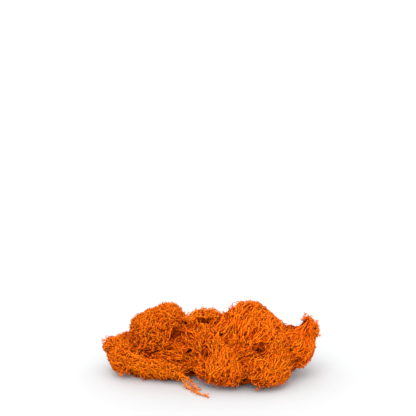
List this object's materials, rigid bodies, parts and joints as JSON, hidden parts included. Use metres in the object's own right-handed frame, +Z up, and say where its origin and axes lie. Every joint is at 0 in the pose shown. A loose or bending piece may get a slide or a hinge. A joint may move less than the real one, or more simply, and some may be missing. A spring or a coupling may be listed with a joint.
{
  "type": "reindeer moss clump",
  "caption": "Loose heap of dyed reindeer lichen: tangled tufts of fine forked shoots, resting on its flattened underside, with a loose sprig in front.",
  "frame": {"origin": "on the flat underside of the middle tuft, at the height of the surface that the heap rests on", "axes": "+Z up, +X along the heap's length towards the wing-shaped tuft, +Y away from the viewer"},
  "size_m": [0.2275, 0.1186, 0.0794],
  "materials": {
    "dyed_moss": "matt dyed lichen, bright orange at the tips and darker inside"
  },
  "bodies": {
    "root": {"crown_tuft": "dyed_moss", "left_rim_tuft": "dyed_moss", "left_skirt_tuft": "dyed_moss", "middle_tuft": "dyed_moss", "fan_tuft": "dyed_moss", "wing_tuft": "dyed_moss", "left_lobe_tuft": "dyed_moss", "right_lobe_tuft": "dyed_moss", "loose_sprig": "dyed_moss"}
  },
  "joints": []
}
